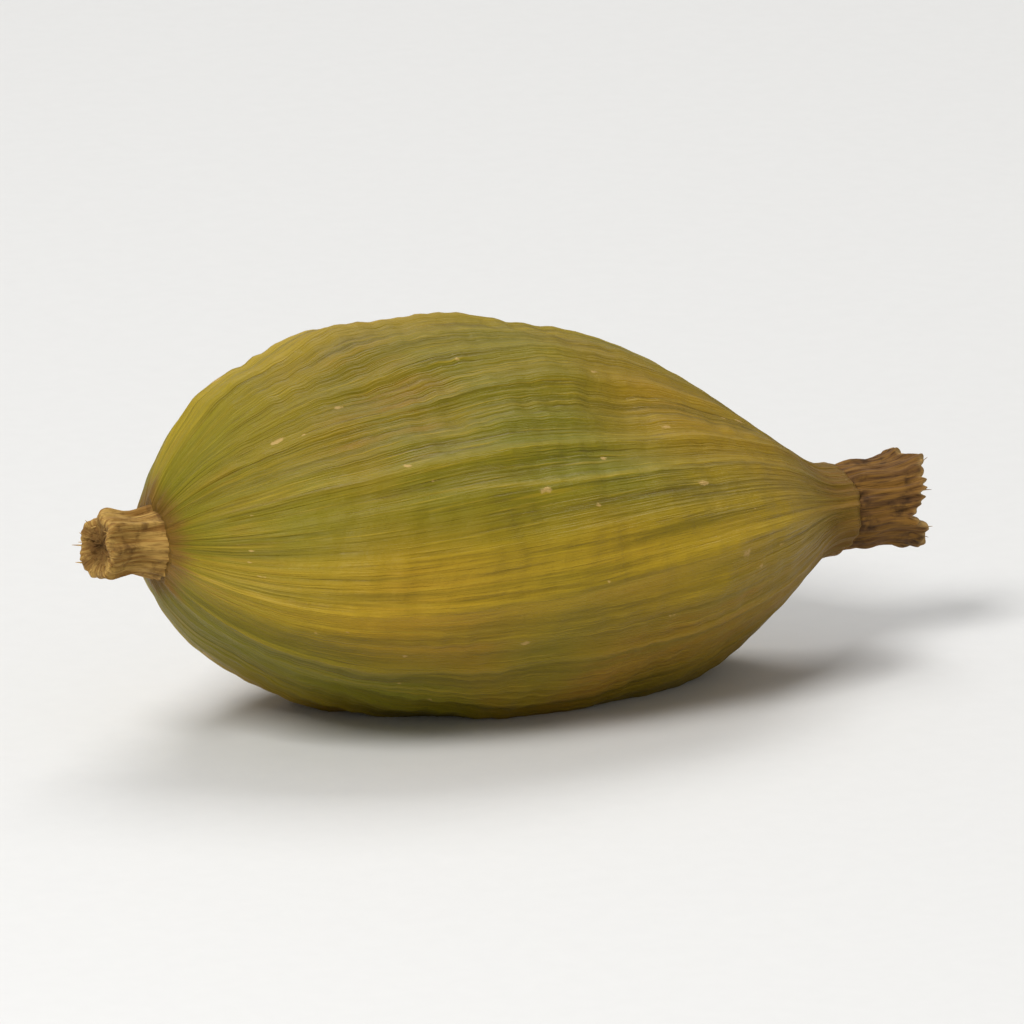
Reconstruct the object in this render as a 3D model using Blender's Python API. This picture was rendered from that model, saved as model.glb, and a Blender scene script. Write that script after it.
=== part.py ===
"""Green cardamom pod, dried, lying on its side on a flat surface.

A standalone Blender 4.5 script in metres, +Z up. +X runs along the pod, from its stalk to its
beaked tip. The origin is on the surface that the pod lies on, under the middle of the pod.
The pod is a three-sided papery husk, the short dry stalk that it hung by, and the dried tube
of the flower at its tip.
"""

import math

import bmesh
import bpy
import numpy as np
from mathutils import Vector

MM = 0.001

# Driving sizes of the husk
HUSK_LENGTH = 12.6 * MM
HUSK_RADIUS = 3.17 * MM  # mean radius at the fattest place
STALK_NECK_RADIUS = 0.62 * MM
TIP_NECK_RADIUS = 0.75 * MM
ROUND_END_POWER = 0.54  # near the stalk the radius grows as this power of the distance
TAPER_POWER = 0.62  # near the tip it shrinks as this power of the distance left
BEAK_SHARE = 0.01  # the last share of the length is the slim neck alone
THROAT_SHARE = 0.06  # share of the length over which the body dies away into the neck

# How the pod lies
HUSK_START = -6.37 * MM  # X of the husk's stalk end
HUSK_SIDE = 0.17 * MM  # Y of the husk's axis at both ends
AXIS_HEIGHT = 3.45 * MM  # height of the husk's axis at the stalk end
AXIS_FALL = 1.65 * MM  # the axis comes down this far towards the slimmer tip
TIP_LIFT = 0.60 * MM  # and the tip turns up again by this much
SIDE_BOW = 0.20 * MM

# The three sides
KEELS = 3
KEEL_ROLL = math.radians(58)  # where the first keel stands, from +Y towards +Z
KEEL_TWIST = math.radians(-30)  # turn of the keels from the stalk to the tip
KEEL_SHARE = 0.110  # keels stand out by this share of the radius
FACE_SHARE = 0.016  # this share sharpens the keels and keeps the sides from going hollow
KEEL_FADE = 1.6  # the slim ends are rounder: this times the radius share caps the keels there
FURROW_DEPTH = 0.06 * MM  # shallow furrow along the middle of each side
FURROW_WIDTH = math.radians(8)

# Raised ribs, nine to a side
RIBS_PER_SIDE = 9
RIB_HEIGHT = 0.060 * MM
RIB_HEIGHT_SPREAD = 0.5  # share by which ribs differ in height
RIB_JITTER = 0.2  # share of the spacing by which ribs stray sideways
RIB_WANDER = 0.12  # share of the spacing by which each rib snakes along its length
RIB_WIDTH = 0.27  # half width of a rib, as a share of the spacing
RIB_FADE = 0.8  # ribs sink towards the slim ends as this power of the radius
RIB_SEED = 11

# Soft folds where the husk has shrunk, each as height, turns round, waves along and phase
FOLDS = (
    (0.060 * MM, 2, 1.3, 0.4),
    (0.045 * MM, 5, -0.8, 2.1),
    (0.030 * MM, 4, 2.4, 4.0),
)
# Shallow dents, each as depth, place along the husk, angle round it, length share and angle width
DENTS = (
    (0.18 * MM, 0.62, math.radians(126), 0.13, math.radians(20)),
    (0.13 * MM, 0.28, math.radians(104), 0.10, math.radians(16)),
    (0.17 * MM, 0.64, math.radians(2), 0.12, math.radians(22)),
)

# Stalk, a short broken stub
STALK_LENGTH = 1.15 * MM
STALK_RADIUS = 0.50 * MM
STALK_RIBS = 7
STALK_RIB_HEIGHT = 0.035 * MM
STALK_BEND = 0.22 * MM
STALK_CUP = 0.14 * MM  # depth of its hollow, broken end
STALK_TEAR = 0.05 * MM

# Dried flower tube, an open cup with the stump of the style inside
TUBE_LENGTH = 1.15 * MM
TUBE_RADIUS = 0.71 * MM
TUBE_RIM_RADIUS = 0.81 * MM
TUBE_WALL = 0.31 * MM
TUBE_DEPTH = 0.62 * MM
TUBE_RIBS = 9
TUBE_RIB_HEIGHT = 0.03 * MM
TUBE_LOBES = 3
TUBE_TEAR = 0.13 * MM
STYLE_RADIUS = 0.15 * MM
STYLE_HEIGHT = 0.40 * MM

JOIN_GAP = 0.04 * MM  # hairline between the husk and what grows from its ends

# Mesh fineness
HUSK_SEGMENTS = 135
HUSK_RINGS = 36
STALK_SEGMENTS = 35
TUBE_SEGMENTS = 45
SMOOTH_ANGLE = math.radians(60)

HUSK_COLOUR = (0.300, 0.245, 0.050, 1.0)
STALK_COLOUR = (0.420, 0.270, 0.105, 1.0)
TUBE_COLOUR = (0.270, 0.150, 0.055, 1.0)


def clear_scene():
    for obj in list(bpy.data.objects):
        bpy.data.objects.remove(obj)


def dry_plant_material(name, colour, roughness):
    material = bpy.data.materials.new(name)
    material.use_nodes = True
    shader = material.node_tree.nodes["Principled BSDF"]
    shader.inputs["Base Color"].default_value = colour
    shader.inputs["Roughness"].default_value = roughness
    shader.inputs["Metallic"].default_value = 0.0
    return material


def wrapped(angle):
    """The same angle between minus half a turn and half a turn."""
    return (angle + np.pi) % (2 * np.pi) - np.pi


def axis_point(along):
    """Centre line of the husk in its own frame, from 0 at the stalk to 1 at the tip."""
    x = HUSK_LENGTH * along
    y = SIDE_BOW * np.sin(np.pi * along)
    z = -AXIS_FALL * along + TIP_LIFT * along**3
    return np.stack([x, y, z], axis=-1)


def mean_radius(along):
    """A power of the distance from each end, dying away smoothly at the tip, over a slim neck."""
    body = np.minimum(1, along / (1 - BEAK_SHARE))
    fattest = ROUND_END_POWER / (ROUND_END_POWER + TAPER_POWER)
    swelling = (body / fattest) ** ROUND_END_POWER
    taper = ((1 - body) / (1 - fattest)) ** TAPER_POWER
    neck = STALK_NECK_RADIUS + (TIP_NECK_RADIUS - STALK_NECK_RADIUS) * along
    throat = 1 - np.exp((body - 1) / THROAT_SHARE)
    return np.hypot(HUSK_RADIUS * swelling * taper * throat, neck)


def rib_relief(along, turn):
    """Sum of one smooth crest for each rib, at the rib's own height and on its own wandering line."""
    count = KEELS * RIBS_PER_SIDE
    spacing = 2 * np.pi / count
    draw = np.random.default_rng(RIB_SEED)
    places = (np.arange(count) + RIB_JITTER * draw.uniform(-1, 1, count)) * spacing
    heights = 1 + RIB_HEIGHT_SPREAD * draw.uniform(-1, 1, count)
    phases = draw.uniform(0, 2 * np.pi, count)
    waves = draw.uniform(0.6, 1.3, count)
    heights[::RIBS_PER_SIDE] = 1 + RIB_HEIGHT_SPREAD  # the rib on each keel is a strong one
    relief = np.zeros(turn.shape)
    for place, height, phase, wave in zip(places, heights, phases, waves):
        line = place + RIB_WANDER * spacing * np.sin(2 * np.pi * wave * along + phase)
        offset = wrapped(turn - line) / (RIB_WIDTH * spacing)
        relief += height * np.exp(-(offset**2))
    return relief


def husk_points(along, turn):
    """Surface of the husk. Rows run along it, columns round it, with turn measured from the first keel."""
    along, turn = np.meshgrid(along, turn, indexing="ij")
    radius = mean_radius(along)
    fullness = radius / HUSK_RADIUS
    angle = turn + KEEL_ROLL + KEEL_TWIST * (along - 0.5)
    sides = KEEL_SHARE * np.cos(KEELS * turn) + FACE_SHARE * np.cos(2 * KEELS * turn)
    to_furrow = wrapped(KEELS * turn - np.pi) / KEELS
    relief = -FURROW_DEPTH * np.exp(-((to_furrow / FURROW_WIDTH) ** 2)) * fullness
    relief += RIB_HEIGHT * rib_relief(along, turn) * fullness**RIB_FADE
    for height, turns, waves, phase in FOLDS:
        relief += height * np.sin(turns * angle + 2 * np.pi * waves * along + phase) * fullness
    for depth, place, centre, length, width in DENTS:
        away = ((along - place) / length) ** 2 + (wrapped(angle - centre) / width) ** 2
        relief -= depth * np.exp(-away)
    reach = radius * (1 + sides * np.minimum(1, KEEL_FADE * fullness)) + relief
    across = np.stack([np.zeros_like(reach), reach * np.cos(angle), reach * np.sin(angle)], axis=-1)
    points = axis_point(along) + across
    points[..., 2] = np.maximum(points[..., 2], -AXIS_HEIGHT)  # the flat spot that it rests on
    return points


def turned_rings(profile, turn, bend=0.0):
    """Rings of a turned profile along +Z, from rows of height and radius, bent as the height squared."""
    rings = []
    for height, radius in profile:
        centre = bend * np.max(height) ** 2
        x = centre + radius * np.cos(turn)
        y = radius * np.sin(turn)
        rings.append(np.stack([x, y, height + np.zeros_like(turn)], axis=-1))
    return rings


def add_ringed_solid(name, rings, caps, material):
    """A closed mesh through rings of points, with a fan of triangles to a cap point over each end."""
    mesh = bpy.data.meshes.new(name)
    body = bmesh.new()
    rows = [[body.verts.new(point) for point in ring] for ring in rings]
    for lower, upper in zip(rows, rows[1:]):
        for i, corner in enumerate(lower):
            body.faces.new((corner, lower[i - 1], upper[i - 1], upper[i]))
    for row, cap in ((rows[0], caps[0]), (rows[-1], caps[1])):
        centre = body.verts.new(cap)
        for i, corner in enumerate(row):
            body.faces.new((corner, row[i - 1], centre))
    bmesh.ops.recalc_face_normals(body, faces=body.faces)
    body.to_mesh(mesh)
    body.free()
    mesh.materials.append(material)
    mesh.shade_smooth()
    mesh.set_sharp_from_angle(angle=SMOOTH_ANGLE)
    obj = bpy.data.objects.new(name, mesh)
    bpy.context.scene.collection.objects.link(obj)
    return obj


def stand_on_end(obj, husk, end, inside):
    """Stands an object that grows along its own +Z on an end of the husk, a hairline off it."""
    foot = Vector(axis_point(np.array(end)))
    outward = (foot - Vector(axis_point(np.array(inside)))).normalized()
    obj.parent = husk
    obj.location = foot + outward * JOIN_GAP
    obj.rotation_mode = "QUATERNION"
    obj.rotation_quaternion = outward.to_track_quat("Z", "Y")


def make_husk(parent):
    """The capsule. Its rings are close together at both ends, where it curves most."""
    along = (1 - np.cos(np.linspace(0, np.pi, HUSK_RINGS))) / 2
    turn = np.linspace(0, 2 * np.pi, HUSK_SEGMENTS, endpoint=False)
    caps = (axis_point(np.array(0.0)), axis_point(np.array(1.0)))
    material = dry_plant_material("husk_green", HUSK_COLOUR, 0.6)
    husk = add_ringed_solid("husk", husk_points(along, turn), caps, material)
    husk.location = (HUSK_START, HUSK_SIDE, AXIS_HEIGHT)
    husk.parent = parent
    return husk


def make_stalk(husk):
    """Short stub of the stalk: ribbed, waisted, swollen at its broken end, which is slightly hollow."""
    turn = np.linspace(0, 2 * np.pi, STALK_SEGMENTS, endpoint=False)
    rib = STALK_RIB_HEIGHT * np.cos(STALK_RIBS * turn)
    tear = STALK_TEAR * (np.sin(2 * turn + 0.6) + 0.7 * np.sin(5 * turn))
    profile = [
        (0.0, STALK_NECK_RADIUS + 0 * rib),
        (0.14 * STALK_LENGTH, 1.12 * STALK_RADIUS + 0.5 * rib),
        (0.42 * STALK_LENGTH, 0.95 * STALK_RADIUS + rib),
        (0.66 * STALK_LENGTH + 0.2 * tear, 0.98 * STALK_RADIUS + rib),
        (0.86 * STALK_LENGTH + 0.7 * tear, 1.06 * STALK_RADIUS + rib),
        (0.97 * STALK_LENGTH + tear, 1.02 * STALK_RADIUS + 0.8 * rib),
        (STALK_LENGTH + tear, 0.86 * STALK_RADIUS + 0.5 * rib),
        (STALK_LENGTH - 0.6 * STALK_CUP + 0.5 * tear, 0.60 * STALK_RADIUS + 0 * rib),
    ]
    rings = turned_rings(profile, turn, bend=STALK_BEND / STALK_LENGTH**2)
    caps = ((0, 0, 0), (STALK_BEND, 0, STALK_LENGTH - STALK_CUP))
    material = dry_plant_material("stalk_tan", STALK_COLOUR, 0.75)
    stand_on_end(add_ringed_solid("stalk_stub", rings, caps, material), husk, 0.0, 0.001)


def make_flower_tube(husk):
    """Dried flower tube: a thick-walled cup with a torn, lobed rim, and the style's stump inside."""
    turn = np.linspace(0, 2 * np.pi, TUBE_SEGMENTS, endpoint=False)
    rib = TUBE_RIB_HEIGHT * np.cos(TUBE_RIBS * turn + 0.5)
    tear = np.cos(TUBE_LOBES * turn) + 0.45 * np.sin(7 * turn + 1.0) + 0.3 * np.sin(11 * turn)
    tear *= TUBE_TEAR
    hollow = TUBE_RIM_RADIUS - TUBE_WALL
    floor = TUBE_LENGTH - TUBE_DEPTH
    profile = [
        (0.0, 0.98 * TIP_NECK_RADIUS + 0 * rib),
        (0.25 * TUBE_LENGTH, TUBE_RADIUS + rib),
        (0.55 * TUBE_LENGTH + 0.1 * tear, 0.96 * TUBE_RADIUS + rib),
        (0.80 * TUBE_LENGTH + 0.5 * tear, 1.03 * TUBE_RADIUS + rib),
        (0.95 * TUBE_LENGTH + tear, TUBE_RIM_RADIUS + rib),
        (TUBE_LENGTH + tear, TUBE_RIM_RADIUS - 0.3 * TUBE_WALL + 0.6 * rib),
        (0.97 * TUBE_LENGTH + tear, hollow + 0.15 * TUBE_WALL + 0.4 * rib),
        (floor + 0.5 * TUBE_DEPTH + 0.3 * tear, hollow + 0 * rib),
        (floor + 0.1 * TUBE_DEPTH, 0.85 * hollow + 0 * rib),
        (floor, 1.5 * STYLE_RADIUS + 0 * rib),
        (floor + 0.4 * STYLE_HEIGHT, STYLE_RADIUS + 0 * rib),
        (floor + 0.9 * STYLE_HEIGHT, 0.85 * STYLE_RADIUS + 0 * rib),
    ]
    caps = ((0, 0, 0), (0, 0, floor + STYLE_HEIGHT))
    material = dry_plant_material("flower_brown", TUBE_COLOUR, 0.8)
    rings = turned_rings(profile, turn)
    stand_on_end(add_ringed_solid("flower_tube", rings, caps, material), husk, 1.0, 0.999)


def main():
    clear_scene()
    pod = bpy.data.objects.new("pod", None)
    bpy.context.scene.collection.objects.link(pod)
    husk = make_husk(pod)
    make_stalk(husk)
    make_flower_tube(husk)


main()
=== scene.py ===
# %% [markdown]
# # A dried green cardamom pod, close up
#
# This file dresses a small CAD model of a cardamom pod. The pod is 15 mm long, so everything
# here is made at the scale of a macro photograph: ribs under a tenth of a millimetre high,
# fibres thinner than a hair, and lights and a camera set close by. The CAD model gives the form
# of the three pieces, and each is made again here from the same formula on a finer grid.

# %% Load the frame
import math

import bpy
import numpy as np
from mathutils import Matrix, Vector


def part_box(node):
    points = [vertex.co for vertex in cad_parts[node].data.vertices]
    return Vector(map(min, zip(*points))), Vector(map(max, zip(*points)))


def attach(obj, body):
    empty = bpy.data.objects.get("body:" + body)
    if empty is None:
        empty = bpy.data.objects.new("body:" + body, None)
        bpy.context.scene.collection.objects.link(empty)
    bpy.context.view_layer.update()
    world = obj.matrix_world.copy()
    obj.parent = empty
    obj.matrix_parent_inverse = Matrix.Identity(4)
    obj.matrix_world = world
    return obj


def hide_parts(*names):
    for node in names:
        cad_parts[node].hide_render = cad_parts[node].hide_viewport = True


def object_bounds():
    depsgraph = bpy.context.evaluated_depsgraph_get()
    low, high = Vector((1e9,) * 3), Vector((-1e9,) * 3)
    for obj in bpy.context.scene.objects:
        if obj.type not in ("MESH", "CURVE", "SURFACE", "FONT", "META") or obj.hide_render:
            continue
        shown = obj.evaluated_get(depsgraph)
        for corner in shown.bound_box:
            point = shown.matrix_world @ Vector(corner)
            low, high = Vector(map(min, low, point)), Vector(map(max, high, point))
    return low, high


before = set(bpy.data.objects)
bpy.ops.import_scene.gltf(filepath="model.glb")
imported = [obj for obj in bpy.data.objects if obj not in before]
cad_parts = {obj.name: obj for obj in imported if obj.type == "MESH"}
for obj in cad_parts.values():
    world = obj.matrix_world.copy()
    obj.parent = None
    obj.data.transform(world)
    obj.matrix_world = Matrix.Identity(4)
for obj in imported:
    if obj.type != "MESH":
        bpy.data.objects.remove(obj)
cad_low, cad_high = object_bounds()
MM = 0.001
print("CAD box in mm:", [round(side / MM, 2) for side in cad_high - cad_low])

# %% [markdown]
# ## The form of the husk
#
# A cardamom husk is a capsule with three rounded keels. It is blunt at the stalk, and at the tip
# it narrows smoothly into a slim neck. It could be sculpted, but a formula keeps it exact and
# repeatable: a centre line and a mean radius along it. These are the CAD model's own values.

# %% Centre line and mean radius
HUSK_LENGTH = 12.6 * MM
HUSK_RADIUS = 3.17 * MM
STALK_NECK_RADIUS = 0.62 * MM
TIP_NECK_RADIUS = 0.75 * MM
ROUND_END_POWER = 0.54
TAPER_POWER = 0.62
BEAK_SHARE = 0.01
THROAT_SHARE = 0.06
HUSK_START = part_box("husk")[0].x
HUSK_SIDE = 0.17 * MM
AXIS_HEIGHT = 3.45 * MM
AXIS_FALL = 1.65 * MM
TIP_LIFT = 0.60 * MM
SIDE_BOW = 0.20 * MM


def axis_point(along):
    """Straight along X, bowed sideways by half a sine wave, falling evenly and lifted again by a cube."""
    x = HUSK_START + HUSK_LENGTH * along
    y = HUSK_SIDE + SIDE_BOW * np.sin(np.pi * along)
    z = AXIS_HEIGHT - AXIS_FALL * along + TIP_LIFT * along**3
    return np.stack([x, y, z], axis=-1)


def mean_radius(along):
    """A power of the distance from each end, dying away near the tip as an exponential does.

    The result is joined by Pythagoras to a slim neck, so that neither end closes to a point.
    """
    body = np.minimum(1, along / (1 - BEAK_SHARE))
    fattest = ROUND_END_POWER / (ROUND_END_POWER + TAPER_POWER)
    swelling = (body / fattest) ** ROUND_END_POWER
    taper = ((1 - body) / (1 - fattest)) ** TAPER_POWER
    neck = STALK_NECK_RADIUS + (TIP_NECK_RADIUS - STALK_NECK_RADIUS) * along
    throat = 1 - np.exp((body - 1) / THROAT_SHARE)
    return np.hypot(HUSK_RADIUS * swelling * taper * throat, neck)


print("husk runs from", round(HUSK_START / MM, 2), "to", round((HUSK_START + HUSK_LENGTH) / MM, 2), "mm")

# %% [markdown]
# ## Keels and ribs
#
# Three valves make up the husk, so its cross-section is a rounded triangle. It dried on its
# seeds, and that drew out nine ribs a side. A texture could draw such lines, but only real
# relief changes the outline and catches light along its edge. Each rib is a bell curve across a
# line that wanders a little.

# %% Keels and ribs
KEELS = 3
KEEL_ROLL = math.radians(58)
KEEL_TWIST = math.radians(-30)
KEEL_SHARE = 0.110
FACE_SHARE = 0.016
KEEL_FADE = 1.6
RIBS_PER_SIDE = 9
RIB_HEIGHT = 0.060 * MM
RIB_HEIGHT_SPREAD = 0.5
RIB_JITTER = 0.2
RIB_WANDER = 0.12
RIB_WIDTH = 0.27
RIB_WAVES = (0.6, 1.3)
RIB_FADE = 0.8
RIB_SEED = 11


def wrapped(angle):
    """The same angle between minus half a turn and half a turn."""
    return (angle + np.pi) % (2 * np.pi) - np.pi


def rib_relief(along, turn, width=RIB_WIDTH):
    """Sum of one bell curve for each rib, across a line that snakes a little along the husk."""
    count = KEELS * RIBS_PER_SIDE
    spacing = 2 * np.pi / count
    draw = np.random.default_rng(RIB_SEED)
    places = (np.arange(count) + RIB_JITTER * draw.uniform(-1, 1, count)) * spacing
    heights = 1 + RIB_HEIGHT_SPREAD * draw.uniform(-1, 1, count)
    phases = draw.uniform(0, 2 * np.pi, count)
    waves = draw.uniform(*RIB_WAVES, count)
    heights[::RIBS_PER_SIDE] = 1 + RIB_HEIGHT_SPREAD
    relief = np.zeros(turn.shape)
    for place, height, phase, wave in zip(places, heights, phases, waves):
        line = place + RIB_WANDER * spacing * np.sin(2 * np.pi * wave * along + phase)
        offset = wrapped(turn - line) / (width * spacing)
        relief += height * np.exp(-(offset**2))
    return relief


print(KEELS * RIBS_PER_SIDE, "ribs of about", RIB_HEIGHT / MM, "mm")

# %% [markdown]
# ## Furrows, folds and dents
#
# As the seeds shrank, the papery wall sank after them: a narrow furrow down the middle of each
# side, long soft folds and a few dents. They could be pushed in with a sculpting brush. Sine
# waves and bell curves do the same with numbers that are easy to change.

# %% Furrows, folds and dents
FURROW_DEPTH = 0.06 * MM
FURROW_WIDTH = math.radians(8)
# Folds, each as height, turns round the husk, waves along it and phase
FOLDS = (
    (0.060 * MM, 2, 1.3, 0.4),
    (0.045 * MM, 5, -0.8, 2.1),
    (0.030 * MM, 4, 2.4, 4.0),
)
# Dents, each as depth, place along the husk, angle round it, length share and width
DENTS = (
    (0.18 * MM, 0.62, math.radians(126), 0.13, math.radians(20)),
    (0.13 * MM, 0.28, math.radians(104), 0.10, math.radians(16)),
    (0.17 * MM, 0.64, math.radians(2), 0.12, math.radians(22)),
)


def broad_relief(along, turn, angle, fullness):
    """A narrow dip along each side's middle, plus long sine folds, less a bell for each dent."""
    to_furrow = wrapped(KEELS * turn - np.pi) / KEELS
    relief = -FURROW_DEPTH * np.exp(-((to_furrow / FURROW_WIDTH) ** 2)) * fullness
    for height, turns, waves, phase in FOLDS:
        relief += height * np.sin(turns * angle + 2 * np.pi * waves * along + phase) * fullness
    for depth, place, centre, length, width in DENTS:
        away = ((along - place) / length) ** 2 + (wrapped(angle - centre) / width) ** 2
        relief -= depth * np.exp(-away)
    return relief


print(len(FOLDS), "folds and", len(DENTS), "dents")

# %% [markdown]
# ## Veins
#
# Each rib carries a thin thread, the bundle of fibres that made it, and between the ribs run
# finer veins that start and fade anywhere along the pod. Lines drawn in a texture would lie
# flat, so each vein is a thin bell across a line of its own, raised from the skin.

# %% Veins
THREAD_HEIGHT = 0.014 * MM
THREAD_WIDTH = 0.10
THREAD_FADE = 0.7
VEIN_COUNT = 110
VEIN_SEED = 5
VEIN_HEIGHT = 0.016 * MM
VEIN_WIDTH = 0.021
VEIN_JITTER = 0.4
VEIN_SWAY = (0.01, 0.05)
VEIN_WAVES = (0.5, 2.0)
VEIN_PHASE = (0, 6.3)
VEIN_MIDDLE = (0.1, 0.9)
VEIN_REACH = (0.15, 0.6)
VEIN_STRENGTH = (0.3, 1.0)


def veins(along, turn):
    """The largest of many thin bells, each across its own swaying line and fading out along it."""
    draw = np.random.default_rng(VEIN_SEED)
    places = np.arange(VEIN_COUNT) + draw.uniform(-VEIN_JITTER, VEIN_JITTER, VEIN_COUNT)
    strongest = np.zeros(turn.shape)
    for place in places * 2 * np.pi / VEIN_COUNT:
        sway, waves, phase = (draw.uniform(*span) for span in (VEIN_SWAY, VEIN_WAVES, VEIN_PHASE))
        line = place + sway * np.sin(2 * np.pi * waves * along + phase)
        middle, reach, strength = (draw.uniform(*span) for span in (VEIN_MIDDLE, VEIN_REACH, VEIN_STRENGTH))
        fade = strength * np.exp(-(((along - middle) / reach) ** 4))
        strongest = np.maximum(strongest, fade * np.exp(-((wrapped(turn - line) / VEIN_WIDTH) ** 2)))
    return strongest


print(VEIN_COUNT, "veins of up to", VEIN_HEIGHT / MM, "mm")

# %% [markdown]
# ## Dimples and crinkles
#
# The skin shrank onto the seeds, so it is softly dimpled and finely crinkled. A noise texture
# could displace it, but a sum of waves that lie at many slants looks as irregular and, with
# whole numbers of waves round the husk, meets itself without a seam.

# %% Dimples and crinkles
DIMPLE_SEED = 6
DIMPLE_HEIGHT = 0.022 * MM
DIMPLE_ROWS = (2, 8)
DIMPLE_COLUMNS = 7
CRINKLE_SEED = 8
CRINKLE_HEIGHT = 0.009 * MM
CRINKLE_ROWS = (14, 36)
CRINKLE_COLUMNS = 26
SLANTED_TERMS = 40


def slanted_waves(along, turn, seed, lengthwise, round_it):
    """Sum of waves of equal height over the skin, each with its own count along it and round it."""
    draw = np.random.default_rng(seed)
    total = np.zeros(turn.shape)
    for _ in range(SLANTED_TERMS):
        rows, columns = draw.uniform(*lengthwise), draw.integers(-round_it, round_it + 1)
        total += np.cos(2 * np.pi * rows * along + columns * turn + draw.uniform(0, 2 * np.pi))
    return total / np.sqrt(SLANTED_TERMS / 2)


def drifting_waves(along, turn, seed, terms, waves_round, drift):
    """Sum of cosines round the piece, in whole numbers of waves, each one's phase swaying along it."""
    draw = np.random.default_rng(seed)
    total = np.zeros(turn.shape)
    for count in draw.integers(*waves_round, terms):
        sway = drift * np.sin(2 * np.pi * draw.uniform(0.4, 1.6) * along + draw.uniform(0, 2 * np.pi))
        total += np.cos(count * turn + sway + draw.uniform(0, 2 * np.pi))
    return total / np.sqrt(terms / 2)


print("dimples of", DIMPLE_HEIGHT / MM, "mm and crinkles of", CRINKLE_HEIGHT / MM, "mm")

# %% [markdown]
# ## Flecks and warm patches
#
# Each pod is scuffed. Small corky flecks lie along the grain, a little raised, and where the
# husk ripened or was rubbed it turned from green to gold, most of all along its keels, where the
# gold is also a painted highlight. Patches could be painted by hand. Here they are soft bells
# at chosen or drawn places, kept as numbers on the points, so that the finish colours just what
# stands out.

# %% Flecks and patches
FLECK_SEED = 17
FLECK_COUNT = 90
FLECK_HEIGHT = 0.012 * MM
FLECK_PLACE = (0.06, 0.94)
FLECK_LENGTH = 0.004
FLECK_LENGTH_SPREAD = 0.010
FLECK_ROUNDNESS = (1.6, 3.0)
KEEL_STRAW_AND_HIGHLIGHT_WIDTH = math.radians(13)
# Gold patches, also a painted highlight on the keels, each as place along the husk, turn from
# the first keel, length, width and strength
GOLD_AND_HIGHLIGHT_PATCHES = (
    (0.24, math.radians(124), 0.14, math.radians(20), 1.0),
    (0.52, math.radians(116), 0.20, math.radians(14), 0.5),
    (0.72, math.radians(62), 0.12, math.radians(30), 0.5),
    (0.40, math.radians(2), 0.20, math.radians(24), 0.6),
    (0.35, math.radians(244), 0.25, math.radians(30), 0.8),
)


def flecks(along, turn):
    """The largest of many small bells, each longer along the grain than across it."""
    draw = np.random.default_rng(FLECK_SEED)
    strongest = np.zeros(turn.shape)
    for _ in range(FLECK_COUNT):
        place, centre = draw.uniform(*FLECK_PLACE), draw.uniform(0, 2 * np.pi)
        length = FLECK_LENGTH + FLECK_LENGTH_SPREAD * draw.uniform() ** 3
        width = length * draw.uniform(*FLECK_ROUNDNESS)
        away = ((along - place) / length) ** 2 + (wrapped(turn - centre) / width) ** 2
        strongest = np.maximum(strongest, np.exp(-away))
    return strongest


def gold(along, turn):
    """Sum of the patches' bells, held to one."""
    total = np.zeros(turn.shape)
    for place, centre, length, width, strength in GOLD_AND_HIGHLIGHT_PATCHES:
        away = ((along - place) / length) ** 2 + (wrapped(turn - centre) / width) ** 2
        total += strength * np.exp(-away)
    return np.minimum(total, 1)


def keel_straw_and_highlight(turn):
    """A bell across each keel: straw colour, partly the keel's own and partly a painted highlight."""
    return np.exp(-((wrapped(KEELS * turn) / KEELS / KEEL_STRAW_AND_HIGHLIGHT_WIDTH) ** 2))


print(FLECK_COUNT, "flecks and", len(GOLD_AND_HIGHLIGHT_PATCHES), "gold patches")

# %% [markdown]
# ## From formula to mesh
#
# Every piece of the pod is a stack of rings. Blender could skin such rings with bridge edge
# loops, but with numpy the whole mesh goes in at once: the grid's points, four-sided faces
# between neighbouring rings, and a fan of triangles over each end so that nothing is open.

# %% Mesh from arrays
def mesh_from_arrays(name, points, quads, triangles):
    """Puts whole arrays of points and of face corners into a new smooth-shaded object."""
    mesh = bpy.data.meshes.new(name)
    corners = np.concatenate([quads.ravel(), triangles.ravel()])
    sizes = np.concatenate([np.full(len(quads), 4), np.full(len(triangles), 3)])
    starts = np.concatenate([[0], np.cumsum(sizes)[:-1]])
    mesh.vertices.add(len(points))
    mesh.vertices.foreach_set("co", points.astype(np.float32).ravel())
    mesh.loops.add(len(corners))
    mesh.loops.foreach_set("vertex_index", corners.astype(np.int32))
    mesh.polygons.add(len(sizes))
    mesh.polygons.foreach_set("loop_start", starts.astype(np.int32))
    mesh.update(calc_edges=True)
    mesh.shade_smooth()
    obj = bpy.data.objects.new(name, mesh)
    bpy.context.scene.collection.objects.link(obj)
    print(name, "has", len(quads) * 2 + len(triangles), "triangles")
    return obj


def closed_skin(name, rings, first_cap, last_cap):
    """A mesh from an array of rings, rows along and columns round, closed with a fan at each end."""
    rows, columns = rings.shape[:2]
    index = np.arange(rows * columns).reshape(rows, columns)
    beside = np.roll(index, -1, axis=1)
    quads = np.stack([index[:-1], beside[:-1], beside[1:], index[1:]], axis=-1).reshape(-1, 4)
    first = np.full(columns, rows * columns)
    first_fan = np.stack([beside[0], index[0], first], axis=-1)
    last_fan = np.stack([index[-1], beside[-1], first + 1], axis=-1)
    points = np.concatenate([rings.reshape(-1, 3), [first_cap, last_cap]])
    return mesh_from_arrays(name, points, quads, np.concatenate([first_fan, last_fan]))


def add_attribute(obj, name, values):
    """A number or vector for each point, for the finish to read. A cap's point gets its row's mean."""
    grid = values.reshape(values.shape[0], values.shape[1], -1)
    flat = np.concatenate([grid.reshape(-1, grid.shape[2]), [grid[0].mean(0), grid[-1].mean(0)]])
    kind, field = ("FLOAT_VECTOR", "vector") if grid.shape[2] == 3 else ("FLOAT", "value")
    attribute = obj.data.attributes.new(name, kind, "POINT")
    attribute.data.foreach_set(field, flat.astype(np.float32).ravel())


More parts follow.
